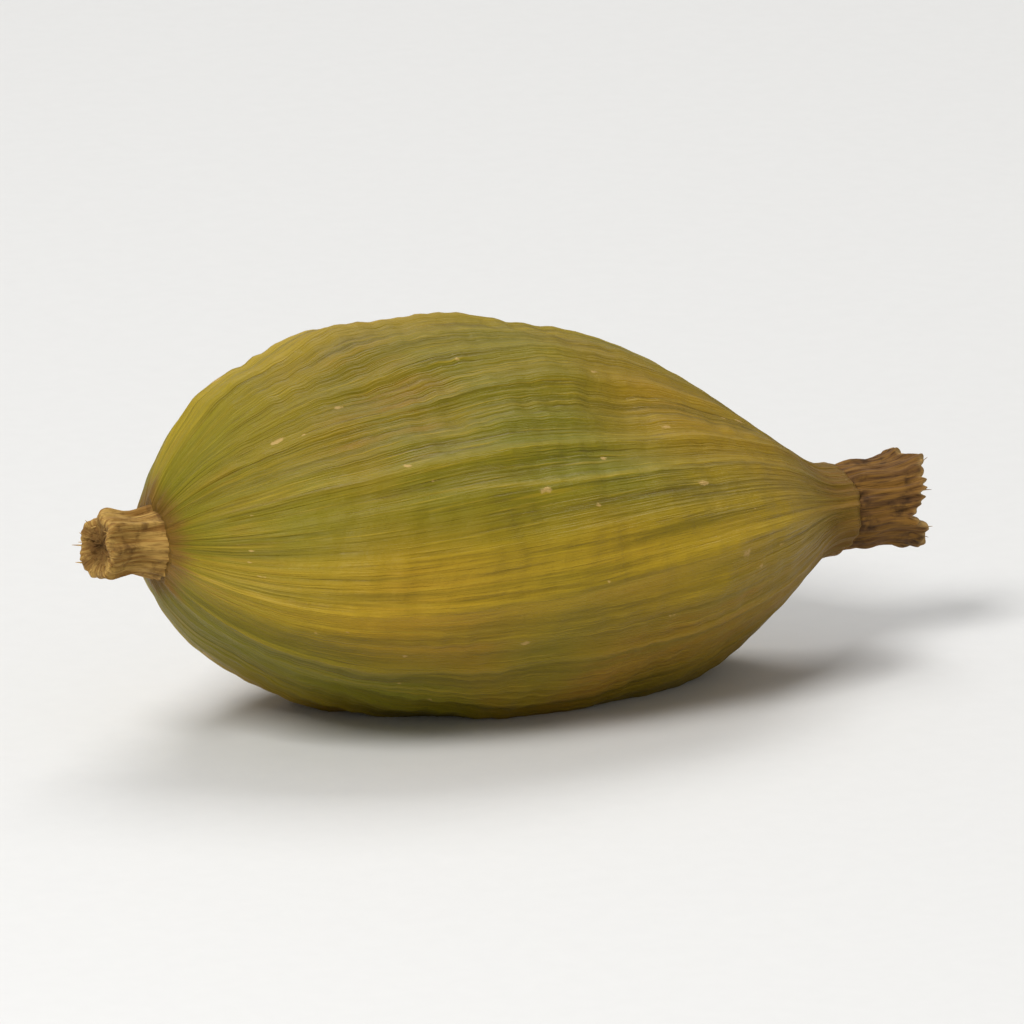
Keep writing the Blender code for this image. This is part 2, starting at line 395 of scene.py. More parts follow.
# %% [markdown]
# ## The husk's skin
#
# The grid is finer round the husk than along it, because the ribs and veins run lengthwise.
# The rows crowd towards the ends as a cosine does, where the husk curves most. Towards both ends
# the skin is gathered in pleats, round the stalk it is puckered, and at the very tip its edge
# turns in as a wavy lip. A subdivided model with displacement could do it too, but here each
# point also keeps what the finish needs: how high it stands on a rib, how far along it is, and a
# place on an unrolled husk for grain that follows the ribs.

# %% Husk skin
HUSK_ROWS = 172
HUSK_COLUMNS = 576
GRAIN_STRETCH = 0.55
SKIN_SINK = 0.02 * MM
PLEAT_SEED = 23
PLEAT_HEIGHT = 0.030 * MM
PLEAT_TERMS = 12
PLEAT_WAVES = (9, 24)
PLEAT_DRIFT = 1.0
PLEAT_FADE = 4
PUCKER_SEED = 29
PUCKER_HEIGHT = 0.045 * MM
PUCKER_TERMS = 10
PUCKER_WAVES = (7, 20)
PUCKER_DRIFT = 0.5
PUCKER_REACH = 0.022
LIP_SHARE = 0.012
LIP_TURN = 0.22
LIP_SEED = 27
LIP_WAVE = 0.0025
LIP_TERMS = 12
LIP_WAVES = (2, 12)
LIP_WAVE_POWER = 30


def husk_relief(along, turn, angle, fullness):
    """All the relief over the three-sided form, from the folds down to the flecks."""
    relief = broad_relief(along, turn, angle, fullness) - SKIN_SINK * fullness
    relief += RIB_HEIGHT * rib_relief(along, turn) * fullness**RIB_FADE
    relief += THREAD_HEIGHT * rib_relief(along, turn, THREAD_WIDTH) * fullness**THREAD_FADE
    relief += VEIN_HEIGHT * veins(along, turn) * fullness**THREAD_FADE
    dimples = slanted_waves(along, turn, DIMPLE_SEED, DIMPLE_ROWS, DIMPLE_COLUMNS)
    relief += DIMPLE_HEIGHT * dimples * fullness
    crinkles = slanted_waves(along, turn, CRINKLE_SEED, CRINKLE_ROWS, CRINKLE_COLUMNS)
    relief += CRINKLE_HEIGHT * crinkles * fullness
    pleats = drifting_waves(along, turn, PLEAT_SEED, PLEAT_TERMS, PLEAT_WAVES, PLEAT_DRIFT)
    relief += PLEAT_HEIGHT * pleats * (1 - fullness) ** PLEAT_FADE
    puckers = drifting_waves(along, turn, PUCKER_SEED, PUCKER_TERMS, PUCKER_WAVES, PUCKER_DRIFT)
    relief += PUCKER_HEIGHT * puckers * np.exp(-along / PUCKER_REACH)
    return relief + FLECK_HEIGHT * flecks(along, turn)


def lip_turn(along):
    """How far a quarter circle turns the lip in at the very end."""
    to_lip = np.clip((along - 1 + LIP_SHARE) / LIP_SHARE, 0, 1)
    return LIP_TURN * TIP_NECK_RADIUS * (1 - np.sqrt(1 - to_lip**2))


def husk_skin():
    """Each ring is its centre plus a reach in every direction: radius times keels, plus relief."""
    along = (1 - np.cos(np.linspace(0, np.pi, HUSK_ROWS))) / 2
    turn = np.linspace(0, 2 * np.pi, HUSK_COLUMNS, endpoint=False)
    along, turn = np.meshgrid(along, turn, indexing="ij")
    radius = mean_radius(along)
    fullness = radius / HUSK_RADIUS
    angle = turn + KEEL_ROLL + KEEL_TWIST * (along - 0.5)
    sides = KEEL_SHARE * np.cos(KEELS * turn) + FACE_SHARE * np.cos(2 * KEELS * turn)
    reach = radius * (1 + sides * np.minimum(1, KEEL_FADE * fullness))
    reach += husk_relief(along, turn, angle, fullness) - lip_turn(along)
    across = np.stack([np.zeros_like(reach), reach * np.cos(angle), reach * np.sin(angle)], axis=-1)
    points = axis_point(along) + across
    lip = 1 + drifting_waves(along, turn, LIP_SEED, LIP_TERMS, LIP_WAVES, 0.0)
    points[..., 0] -= LIP_WAVE * HUSK_LENGTH * lip * along**LIP_WAVE_POWER
    points[..., 2] = np.maximum(points[..., 2], 0)
    ends = axis_point(np.array([0.0, 1.0]))
    skin = closed_skin("husk_skin", points, ends[0], ends[1])
    grain = np.stack([np.cos(turn), np.sin(turn), GRAIN_STRETCH * along], axis=-1)
    add_attribute(skin, "grain_place", grain)
    add_attribute(skin, "rib", np.clip(rib_relief(along, turn) / (1 + RIB_HEIGHT_SPREAD), 0, 1))
    add_attribute(skin, "vein", veins(along, turn))
    add_attribute(skin, "fleck", flecks(along, turn))
    add_attribute(skin, "gold", gold(along, turn))
    add_attribute(skin, "keel", keel_straw_and_highlight(turn))
    add_attribute(skin, "along", along)
    return skin


husk = husk_skin()

# %% [markdown]
# ## Pieces turned on the husk's ends
#
# The stalk's stub and the dried flower tube are turned shapes, as from a lathe, that then get
# ribs and a torn edge. Blender's Screw modifier turns one profile, the same all round. Here a
# smooth curve is drawn through a few profile points for every direction at once, and the result
# is stood on the end of the husk along its centre line, sunk in a little so that no gap shows.

# %% Turned pieces
SINK = 0.14 * MM
END_STEP = 0.001


def smooth_rows(profile, rows):
    """Catmull-Rom curve through the profile's points, worked out for all columns at the same time."""
    profile = np.asarray(profile)
    padded = np.concatenate([2 * profile[:1] - profile[1:2], profile, 2 * profile[-1:] - profile[-2:-1]])
    place = np.linspace(0, len(profile) - 1, rows)
    start = np.minimum(place.astype(int), len(profile) - 2)
    t = (place - start).reshape(-1, 1)
    a, b, c, d = (padded[start + shift] for shift in range(4))
    curved = (2 * a - 5 * b + 4 * c - d) * t**2 + (3 * b - a - 3 * c + d) * t**3
    return 0.5 * (2 * b + (c - a) * t + curved)


def end_frame(end, inside):
    """Place and turn of the husk's end: a matrix that carries +Z onto the outward centre line."""
    foot = Vector(axis_point(np.array(end)))
    outward = (foot - Vector(axis_point(np.array(inside)))).normalized()
    turned = outward.to_track_quat("Z", "Y").to_matrix().to_4x4()
    return np.array(Matrix.Translation(foot - outward * SINK) @ turned)


def carried(points, place):
    """Points moved and turned by a four by four matrix."""
    return points @ place[:3, :3].T + place[:3, 3]


def turned_piece(name, heights, radii, turn, bend, place):
    """Points at each height and radius round +Z, pushed sideways as height squared, then carried."""
    x = radii * np.cos(turn) + bend * heights.mean(axis=1, keepdims=True) ** 2
    rings = carried(np.stack([x, radii * np.sin(turn), heights], axis=-1), place)
    return closed_skin(name, rings, rings[0].mean(0), rings[-1].mean(0))


STALK_END = end_frame(0.0, END_STEP)
TIP_END = end_frame(1.0, 1 - END_STEP)
print("stalk end at", (STALK_END[:3, 3] / MM).round(2), "tip end at", (TIP_END[:3, 3] / MM).round(2))

# %% [markdown]
# ## The stub of the stalk
#
# What is left of the stalk is a short tan stub, waisted, ribbed by its strands and a little
# swollen where it broke. Its broken end is a shallow cup of torn strands, so the last rows of
# the profile turn inwards and down, with a rough floor.

# %% Stalk
STALK_LENGTH = 1.15 * MM
STALK_RADIUS = 0.50 * MM
STALK_RIBS = 7
STALK_RIB_HEIGHT = 0.035 * MM
STALK_BEND = 0.22 * MM
STALK_CUP = 0.14 * MM
STALK_TEAR = 0.05 * MM
STALK_ROWS = 130
STALK_COLUMNS = 168
STRAND_SEED = 31
STRAND_HEIGHT = 0.014 * MM
STRAND_TERMS = 22
STRAND_WAVES = (10, 30)
STRAND_DRIFT = 1.6
PIT_SEED = 33
PIT_HEIGHT = 1.6 * STRAND_HEIGHT
PIT_TERMS = 16
PIT_WAVES = (4, 14)
PIT_DRIFT = 2.0
PIT_CROWDING = 7
PIT_START = 0.78
PIT_FADE = 0.12


def stalk_tear(turn):
    """How far the stub's broken end rises or falls: a wave of two crests and a smaller one of five."""
    return STALK_TEAR * (np.sin(2 * turn + 0.6) + 0.7 * np.sin(5 * turn))


def stalk_profile(turn):
    """Heights and radii of the stub's profile, for every direction: ribbed sides and a torn end.

    Each row is a height, its share of the tear, a radius and its share of the ribs.
    """
    rib = STALK_RIB_HEIGHT * np.cos(STALK_RIBS * turn)
    tear = stalk_tear(turn)
    length = STALK_LENGTH + SINK
    rows = (
        (0, 0, STALK_NECK_RADIUS, 0),
        (0.14 * length, 0, 1.12 * STALK_RADIUS, 0.5),
        (0.42 * length, 0, 0.95 * STALK_RADIUS, 1),
        (0.66 * length, 0.2, 0.98 * STALK_RADIUS, 1),
        (0.86 * length, 0.7, 1.06 * STALK_RADIUS, 1),
        (0.97 * length, 1, 1.02 * STALK_RADIUS, 0.8),
        (length, 1, 0.86 * STALK_RADIUS, 0.5),
        (length - 0.6 * STALK_CUP, 0.5, 0.55 * STALK_RADIUS, 0),
        (length - STALK_CUP, 0, 0.12 * STALK_RADIUS, 0),
    )
    heights = [height + part * tear for height, part, _, _ in rows]
    radii = [radius + part * rib for _, _, radius, part in rows]
    return smooth_rows(heights, STALK_ROWS), smooth_rows(radii, STALK_ROWS)


def stalk_stub():
    """The profile with finer strands between its ribs and pits in its broken end."""
    turn = np.linspace(0, 2 * np.pi, STALK_COLUMNS, endpoint=False)
    heights, radii = stalk_profile(turn)
    level, around = np.meshgrid(np.linspace(0, 1, STALK_ROWS), turn, indexing="ij")
    strands = drifting_waves(level, around, STRAND_SEED, STRAND_TERMS, STRAND_WAVES, STRAND_DRIFT)
    radii = radii + STRAND_HEIGHT * strands * np.minimum(1, radii / (0.5 * STALK_RADIUS))
    pits = drifting_waves(level * PIT_CROWDING, around, PIT_SEED, PIT_TERMS, PIT_WAVES, PIT_DRIFT)
    heights = heights + PIT_HEIGHT * pits * np.clip((level - PIT_START) / PIT_FADE, 0, 1)
    bend = STALK_BEND / (STALK_LENGTH + SINK) ** 2
    stub = turned_piece("stalk_stub_torn", heights, radii, around, bend, STALK_END)
    add_attribute(stub, "grain_place", np.stack([np.cos(around), np.sin(around), 0.5 * level], axis=-1))
    add_attribute(stub, "level", level)
    return stub


stub = stalk_stub()

# %% [markdown]
# ## The dried flower tube
#
# The flower's tube dried to a brown, brittle cup with a torn rim, and the stump of the style
# stands in it. The profile runs up the outside, over the rim, down the inside to the floor and
# up the style, so the whole cup is one closed skin with a real wall.

# %% Flower tube
TUBE_LENGTH = 1.15 * MM
TUBE_RADIUS = 0.71 * MM
TUBE_RIM_RADIUS = 0.81 * MM
TUBE_WALL = 0.21 * MM
TUBE_DEPTH = 0.62 * MM
TUBE_RIBS = 9
TUBE_RIB_HEIGHT = 0.03 * MM
TUBE_LOBES = 3
TUBE_TEAR = 0.13 * MM
STYLE_RADIUS = 0.15 * MM
STYLE_HEIGHT = 0.40 * MM
TUBE_ROWS = 200
TUBE_COLUMNS = 240
FRAY_SEED = 44
FRAY_SHARE = 0.24
FRAY_TERMS = 14
FRAY_WAVES = (14, 40)
WRINKLE_SEED = 41
WRINKLE_HEIGHT = 0.016 * MM
WRINKLE_TERMS = 26
WRINKLE_WAVES = (8, 34)
WRINKLE_DRIFT = 1.8
WRINKLE_CROWDING = 2.5


def tube_tear(turn):
    """How far the cup's rim rises or falls: three lobes, smaller waves on them, and fray on those."""
    lobes = np.cos(TUBE_LOBES * turn) + 0.45 * np.sin(7 * turn + 1.0) + 0.3 * np.sin(11 * turn)
    fray = drifting_waves(0 * turn, turn, FRAY_SEED, FRAY_TERMS, FRAY_WAVES, 0.0)
    return TUBE_TEAR * (lobes + FRAY_SHARE * fray)


def tube_profile(turn):
    """Heights and radii of the cup's profile, for every direction, in rows as the stub's are.

    They go up the outside, over the torn rim, down to the floor and up the style.
    """
    rib = TUBE_RIB_HEIGHT * np.cos(TUBE_RIBS * turn + 0.5)
    tear = tube_tear(turn)
    hollow = TUBE_RIM_RADIUS - TUBE_WALL
    floor = TUBE_LENGTH - TUBE_DEPTH + SINK
    length = TUBE_LENGTH + SINK
    rows = (
        (0, 0, 0.90 * TIP_NECK_RADIUS, 0),
        (0.25 * length, 0, TUBE_RADIUS, 1),
        (0.55 * length, 0.1, 0.96 * TUBE_RADIUS, 1),
        (0.80 * length, 0.5, 1.03 * TUBE_RADIUS, 1),
        (0.95 * length, 1, TUBE_RIM_RADIUS, 1),
        (length, 1, TUBE_RIM_RADIUS - 0.3 * TUBE_WALL, 0.6),
        (0.97 * length, 1, hollow + 0.15 * TUBE_WALL, 0.4),
        (floor + 0.5 * TUBE_DEPTH, 0.3, hollow, 0),
        (floor + 0.1 * TUBE_DEPTH, 0, 0.85 * hollow, 0),
        (floor, 0, 1.5 * STYLE_RADIUS, 0),
        (floor + 0.4 * STYLE_HEIGHT, 0, STYLE_RADIUS, 0),
        (floor + 0.9 * STYLE_HEIGHT, 0, 0.85 * STYLE_RADIUS, 0),
        (floor + STYLE_HEIGHT, 0, 0.2 * STYLE_RADIUS, 0),
    )
    heights = [height + part * tear for height, part, _, _ in rows]
    radii = [radius + part * rib for _, _, radius, part in rows]
    return smooth_rows(heights, TUBE_ROWS), smooth_rows(radii, TUBE_ROWS)


def flower_tube():
    """The profile with papery wrinkles, which fade on the slim style."""
    turn = np.linspace(0, 2 * np.pi, TUBE_COLUMNS, endpoint=False)
    heights, radii = tube_profile(turn)
    level, around = np.meshgrid(np.linspace(0, 1, TUBE_ROWS), turn, indexing="ij")
    level_waves = level * WRINKLE_CROWDING
    wrinkles = drifting_waves(level_waves, around, WRINKLE_SEED, WRINKLE_TERMS, WRINKLE_WAVES, WRINKLE_DRIFT)
    radii = radii + WRINKLE_HEIGHT * wrinkles * np.minimum(1, radii / TUBE_RADIUS)
    tube = turned_piece("flower_tube_dried", heights, radii, around, 0.0, TIP_END)
    add_attribute(tube, "grain_place", np.stack([np.cos(around), np.sin(around), 0.8 * level], axis=-1))
    add_attribute(tube, "level", level)
    return tube


tube = flower_tube()

# %% [markdown]
# ## Torn fibres
#
# Where the stalk and the flower tore off, single fibres stick out of the edge. Blender's hair
# would be lost in an export, so each fibre is a thin tapered tube of its own, along a path that
# starts in the wall just under the torn rim, leans outwards and curls. Each root follows the
# rim's own rise and fall, so that none hangs in the air. All are worked out in one array.

# %% Torn fibres
FIBRE_ROWS = 9
FIBRE_SIDES = 6
FIBRE_JITTER = 0.4
FIBRE_LENGTHS = (0.35, 1.0)
FIBRE_BENDS = (-0.1, 0.7)
ROOT_RING = (0.75, 0.98)
ROOT_DEPTH = 0.08 * MM
ROOT_SHARE = 0.25
STALK_FIBRE_COUNT = 22
STALK_FIBRE_SEED = 51
STALK_FIBRE_REACH = 0.26 * MM
STALK_FIBRE_RADIUS = 0.016 * MM
TUBE_FIBRE_COUNT = 18
TUBE_FIBRE_SEED = 52
TUBE_FIBRE_REACH = 0.24 * MM
TUBE_FIBRE_RADIUS = 0.014 * MM


def fibre_paths(count, seed, rim_radius, rim_height, tear, reach):
    """A root in the wall and a curve away from it: straight up, with a growing lean and curl."""
    draw = np.random.default_rng(seed)
    jitter = draw.uniform(-FIBRE_JITTER, FIBRE_JITTER, count)
    around = (np.arange(count) + jitter) * 2 * np.pi / count
    outward = np.stack([np.cos(around), np.sin(around), 0 * around], axis=-1)[:, None]
    sideways = np.stack([-np.sin(around), np.cos(around), 0 * around], axis=-1)[:, None]
    length = reach * draw.uniform(*FIBRE_LENGTHS, count)[:, None, None]
    lean, curl = draw.uniform(*FIBRE_BENDS, (2, count))[..., None, None]
    step = np.linspace(0, 1, FIBRE_ROWS)[None, :, None]
    up = np.array([0, 0, 1.0])
    root_height = (rim_height + tear(around) - ROOT_DEPTH)[:, None, None]
    root_radius = rim_radius * draw.uniform(*ROOT_RING, count)[:, None, None]
    start = root_radius * outward + root_height * up
    rise = length * step * up - ROOT_SHARE * length * up
    middle_bend = sum(FIBRE_BENDS) / 2
    bend = lean * step**1.5 * outward + (curl - middle_bend) * step**2 * sideways
    return start + rise + length * bend


def fibre_bundle(name, paths, thickness, place):
    """A ring of sides round each path's point, in a frame square to the path, tapering to the tip."""
    count = len(paths)
    ahead = np.gradient(paths, axis=1)
    ahead /= np.linalg.norm(ahead, axis=-1, keepdims=True)
    first = np.cross(ahead, [0.3, 0.9, 0.1])
    first /= np.linalg.norm(first, axis=-1, keepdims=True)
    second = np.cross(ahead, first)
    turn = np.linspace(0, 2 * np.pi, FIBRE_SIDES, endpoint=False)[:, None]
    taper = thickness * (1 - 0.8 * np.linspace(0, 1, FIBRE_ROWS) ** 2)[None, :, None, None]
    circle = np.cos(turn) * first[:, :, None] + np.sin(turn) * second[:, :, None]
    rings = paths[:, :, None] + taper * circle
    index = np.arange(count * FIBRE_ROWS * FIBRE_SIDES).reshape(count, FIBRE_ROWS, FIBRE_SIDES)
    beside = np.roll(index, -1, axis=2)
    sides = np.stack([index[:, :-1], beside[:, :-1], beside[:, 1:], index[:, 1:]], axis=-1).reshape(-1, 4)
    roots = index.size + np.arange(count)[:, None] + 0 * index[:, 0]
    root_fan = np.stack([beside[:, 0], index[:, 0], roots], axis=-1)
    tip_fan = np.stack([index[:, -1], beside[:, -1], roots + count], axis=-1)
    points = np.concatenate([rings.reshape(-1, 3), paths[:, 0], paths[:, -1]])
    fans = np.concatenate([root_fan, tip_fan]).reshape(-1, 3)
    return mesh_from_arrays(name, carried(points, place), sides, fans)


stalk_paths = fibre_paths(
    STALK_FIBRE_COUNT,
    STALK_FIBRE_SEED,
    0.95 * STALK_RADIUS,
    STALK_LENGTH + SINK,
    stalk_tear,
    STALK_FIBRE_REACH,
)
stalk_paths += np.array([STALK_BEND, 0, 0])
stalk_fibres = fibre_bundle("stalk_fibres", stalk_paths, STALK_FIBRE_RADIUS, STALK_END)
tube_paths = fibre_paths(
    TUBE_FIBRE_COUNT,
    TUBE_FIBRE_SEED,
    0.98 * TUBE_RIM_RADIUS,
    TUBE_LENGTH + SINK,
    tube_tear,
    TUBE_FIBRE_REACH,
)
tube_fibres = fibre_bundle("tube_fibres", tube_paths, TUBE_FIBRE_RADIUS, TIP_END)

# %% [markdown]
# ## Writing a material as a few lines
#
# A node material is a small graph. These helpers add one node and join it in one call, so that
# each finish below reads from its pattern to its colour. Colours are given as they would be read
# off a screen and turned to the linear numbers that the shader works in.

# %% Material helpers
def screen_colour(red, green, blue):
    """Linear colour from screen values of 0 to 255, by the sRGB curve."""
    parts = np.array([red, green, blue]) / 255
    linear = np.where(parts <= 0.04045, parts / 12.92, ((parts + 0.055) / 1.055) ** 2.4)
    return (*linear.tolist(), 1.0)


def new_finish(name, roughness):
    """A material with its shader, ready for nodes. Returns the material, its node tree and the shader."""
    material = bpy.data.materials.new(name)
    material.use_nodes = True
    tree = material.node_tree
    shader = tree.nodes["Principled BSDF"]
    shader.inputs["Roughness"].default_value = roughness
    return material, tree, shader


def add_node(tree, kind, settings, inputs):
    """A node of a kind, with its settings, and each input either joined to an output or set to a value."""
    node = tree.nodes.new(kind)
    for name, value in settings.items():
        setattr(node, name, value)
    for key, value in inputs.items():
        if isinstance(value, bpy.types.NodeSocket):
            tree.links.new(value, node.inputs[key])
        else:
            node.inputs[key].default_value = value
    return node


def object_place(tree):
    """A point's place in the piece's own space, in metres."""
    return add_node(tree, "ShaderNodeTexCoord", {}, {}).outputs["Object"]


def read_number(tree, name):
    """A number kept on the piece's points."""
    return add_node(tree, "ShaderNodeAttribute", {"attribute_name": name}, {}).outputs["Fac"]


def grain_place(tree, factors):
    """The unrolled place kept on the points, each axis scaled, so that a pattern on it is drawn out."""
    place = add_node(tree, "ShaderNodeAttribute", {"attribute_name": "grain_place"}, {})
    inputs = {0: place.outputs["Vector"], 1: factors}
    return add_node(tree, "ShaderNodeVectorMath", {"operation": "MULTIPLY"}, inputs).outputs[0]


# %% [markdown]
# ## Patterns and how they are joined
#
# A dry plant's colour is never even, and nearly all of it comes from three moves: take a noise,
# stretch the part of its range that matters to run from none to all, and blend a colour in by
# that. A ColorRamp node could hold each such step, but a Map Range node says its limits in plain
# numbers.

# %% Pattern helpers
def noise(tree, place, scale, detail=3.0, roughness=0.55):
    """Soft random pattern from 0 to 1, mostly near a half."""
    inputs = {"Vector": place, "Scale": scale, "Detail": detail, "Roughness": roughness}
    return add_node(tree, "ShaderNodeTexNoise", {}, inputs).outputs["Fac"]


def remap(tree, value, low, high, to_low=0.0, to_high=1.0):
    """Change of range, clamped, with a smooth start and end. With low above high it runs backwards."""
    inputs = {"Value": value, "From Min": low, "From Max": high, "To Min": to_low, "To Max": to_high}
    settings = {"interpolation_type": "SMOOTHSTEP"}
    return add_node(tree, "ShaderNodeMapRange", settings, inputs).outputs["Result"]


def times(tree, first, second):
    """First times second."""
    return add_node(tree, "ShaderNodeMath", {"operation": "MULTIPLY"}, {0: first, 1: second}).outputs[0]


def plus(tree, first, second):
    """First plus second."""
    return add_node(tree, "ShaderNodeMath", {"operation": "ADD"}, {0: first, 1: second}).outputs[0]


def blended(tree, share, first, second):
    """Two colours mixed by a share: zero gives the first and one the second."""
    return add_node(tree, "ShaderNodeMix", {"data_type": "RGBA"}, {0: share, 6: first, 7: second}).outputs[2]


def add_bump(tree, shader, height, depth):
    """Small relief for the shader, whose full height is the depth in metres."""
    bump = add_node(tree, "ShaderNodeBump", {}, {"Strength": 1.0, "Distance": depth, "Height": height})
    tree.links.new(bump.outputs["Normal"], shader.inputs["Normal"])


# %% [markdown]
# ## The husk's finish
#
# Dried in the shade, the husk keeps its green, and it turns olive, gold and russet where it
# ripened or was rubbed; the gold on the keels is also a painted highlight. Fibres run the length
# of it, so most of the pattern is noise drawn out along the grain: coordinates that go round the
# husk quickly and along it slowly. A wood texture from a picture would need to be wrapped round
# the pod and would show its seam. Straw colour lies along the keels, partly their own and partly
# a painted highlight, painted shade and some dirt darken the hollows between the ribs, and brown
# creeps in from both ends. The sheen is that of thin leather.

# %% Husk colours
LEAF_GREEN = screen_colour(114, 110, 6)
PALE_GREEN = screen_colour(136, 129, 16)
OLIVE = screen_colour(142, 113, 4)
DEEP_OLIVE = screen_colour(88, 72, 4)
STRAW = screen_colour(184, 153, 34)
OCHRE = screen_colour(178, 132, 18)
RUSSET = screen_colour(150, 96, 20)
CORK = screen_colour(196, 160, 96)
TIP_BROWN = screen_colour(132, 94, 36)
BARK_BROWN = screen_colour(92, 60, 22)


def husk_colour(tree, streaks, fibres, hairs):
    """Green and olive in soft patches, then gold, russet, streaks, painted shade with some dirt
    between the ribs, keels, veins, ends and flecks; gold and straw on the keels are also a painted
    highlight.
    """
    place = object_place(tree)
    rib, vein, along, keel = (read_number(tree, name) for name in ("rib", "vein", "along", "keel"))
    colour = blended(tree, remap(tree, noise(tree, place, 210, 2.0), 0.28, 0.82), LEAF_GREEN, OLIVE)
    colour = blended(tree, remap(tree, along, 0.30, 0.0, 0.0, 0.60), colour, PALE_GREEN)
    colour = blended(tree, remap(tree, along, 0.60, 1.0, 0.0, 0.38), colour, OCHRE)
    gold_and_painted_highlight = times(tree, read_number(tree, "gold"), remap(tree, streaks, 0.25, 0.60, 0.45, 0.90))
    # Gold: ripened colour, and on the keels also a painted highlight.
    colour = blended(tree, gold_and_painted_highlight, colour, OCHRE)
    russet_patches = remap(tree, noise(tree, place, 300), 0.46, 0.70)
    rusty = times(tree, russet_patches, remap(tree, streaks, 0.38, 0.62, 0.05, 0.45))
    colour = blended(tree, rusty, colour, RUSSET)
    colour = blended(tree, remap(tree, streaks, 0.52, 0.30, 0.0, 0.45), colour, DEEP_OLIVE)
    # Darker olive between the ribs: painted shade, with some dirt.
    colour = blended(tree, remap(tree, rib, 0.30, 0.0, 0.0, 0.12), colour, DEEP_OLIVE)
    # Straw along the keels: partly their own colour, partly a painted highlight.
    colour = blended(tree, times(tree, keel, remap(tree, streaks, 0.30, 0.60, 0.15, 0.50)), colour, STRAW)
    colour = blended(tree, times(tree, remap(tree, rib, 0.5, 1.0), 0.14), colour, STRAW)
    colour = blended(tree, times(tree, remap(tree, vein, 0.3, 1.0), 0.24), colour, STRAW)
    colour = blended(tree, remap(tree, hairs, 0.54, 0.72, 0.0, 0.40), colour, STRAW)
    colour = blended(tree, remap(tree, fibres, 0.46, 0.26, 0.0, 0.55), colour, DEEP_OLIVE)
    colour = blended(tree, end_browning(tree, along, streaks), colour, TIP_BROWN)
    ragged = plus(tree, read_number(tree, "fleck"), noise(tree, place, 12000))
    return blended(tree, remap(tree, ragged, 0.95, 1.25, 0.0, 0.7), colour, CORK)


def end_browning(tree, along, streaks):
    """Share of dry brown, which reaches in along the streaks from the tip, and just round the stalk."""
    towards_tip = plus(tree, along, times(tree, streaks, 0.30))
    towards_stalk = plus(tree, along, times(tree, streaks, -0.034))
    at_tip = remap(tree, towards_tip, 0.98, 1.20, 0.0, 0.9)
    return plus(tree, at_tip, remap(tree, towards_stalk, 0.004, -0.016, 0.0, 0.85))


def husk_finish():
    """Three sizes of noise along the grain give the colour, the gloss and the fine relief."""
    material, tree, shader = new_finish("husk_finish", 0.5)
    streaks = noise(tree, grain_place(tree, (13, 13, 4)), 1.0, 4.0, 0.6)
    fibres = noise(tree, grain_place(tree, (34, 34, 9)), 1.0, 3.0, 0.6)
    hairs = noise(tree, grain_place(tree, (95, 95, 15)), 1.0, 2.0)
    pores = noise(tree, object_place(tree), 9000, 2.0)
    tree.links.new(husk_colour(tree, streaks, fibres, hairs), shader.inputs["Base Color"])
    tree.links.new(remap(tree, fibres, 0.3, 0.7, 0.42, 0.60), shader.inputs["Roughness"])
    height = plus(tree, plus(tree, fibres, times(tree, hairs, 0.6)), times(tree, pores, 0.3))
    add_bump(tree, shader, height, 0.050 * MM)
    shader.inputs["Subsurface Weight"].default_value = 0.06
    shader.inputs["Subsurface Radius"].default_value = (0.4 * MM, 0.3 * MM, 0.08 * MM)
    shader.inputs["Subsurface Scale"].default_value = 1.0
    shader.inputs["Specular IOR Level"].default_value = 0.25
    return material


husk.data.materials.append(husk_finish())
print("husk finish has", len(husk.data.materials[0].node_tree.nodes), "nodes")

# %% [markdown]
# ## Finishes of the stalk and the flower tube
#
# Both are dead, dry plant fibre: tan strands with dark lines between them on the stalk, and
# brown paper on the flower tube. They share one recipe, strands along the grain in two colours
# with dirt in the hollows, and differ in their colours and in how fine the strands are.

# %% Dry strand finish
STALK_TAN = screen_colour(186, 148, 76)
STALK_BROWN = screen_colour(146, 106, 46)
TUBE_BROWN = screen_colour(102, 70, 34)
TUBE_DARK = screen_colour(46, 29, 14)


def strand_colour(tree, lines, fine, light, middle, dark):
    """Two colours in strands, darkened where the fine lines dip and in blotches of dirt."""
    dirt = noise(tree, object_place(tree), 2600, 4.0, 0.6)
    colour = blended(tree, remap(tree, lines, 0.38, 0.62), middle, light)
    colour = blended(tree, remap(tree, dirt, 0.50, 0.68, 0.0, 0.75), colour, dark)
    return blended(tree, remap(tree, fine, 0.46, 0.32, 0.0, 0.6), colour, dark)


def strand_finish(name, strands, colours, roughness, shade=None):
    """Strands drawn out along the grain, with bump from the same noise. Shade may add a last colour."""
    material, tree, shader = new_finish(name, roughness)
    lines = noise(tree, grain_place(tree, (strands, strands, 6)), 1.0, 3.0, 0.6)
    fine = noise(tree, grain_place(tree, (3 * strands, 3 * strands, 14)), 1.0, 2.0)
    colour = strand_colour(tree, lines, fine, *colours)
    if shade:
        colour = shade(tree, colour)
    tree.links.new(colour, shader.inputs["Base Color"])
    add_bump(tree, shader, plus(tree, lines, times(tree, fine, 0.6)), 0.030 * MM)
    shader.inputs["Specular IOR Level"].default_value = 0.25
    return material


def darker_cup(tree, colour):
    """The stub's broken end is browner than its sides."""
    return blended(tree, remap(tree, read_number(tree, "level"), 0.66, 0.95, 0.0, 0.75), colour, BARK_BROWN)


def dark_inside(tree, colour):
    """The rim is pale where it tore, the inside is dark, and the style's stump is tan again."""
    level = read_number(tree, "level")
    rim = times(tree, remap(tree, level, 0.30, 0.40), remap(tree, level, 0.50, 0.44))
    colour = blended(tree, times(tree, rim, 0.6), colour, CORK)
    inside = times(tree, remap(tree, level, 0.46, 0.56), remap(tree, level, 0.86, 0.80))
    return blended(tree, times(tree, inside, 0.9), colour, TUBE_DARK)


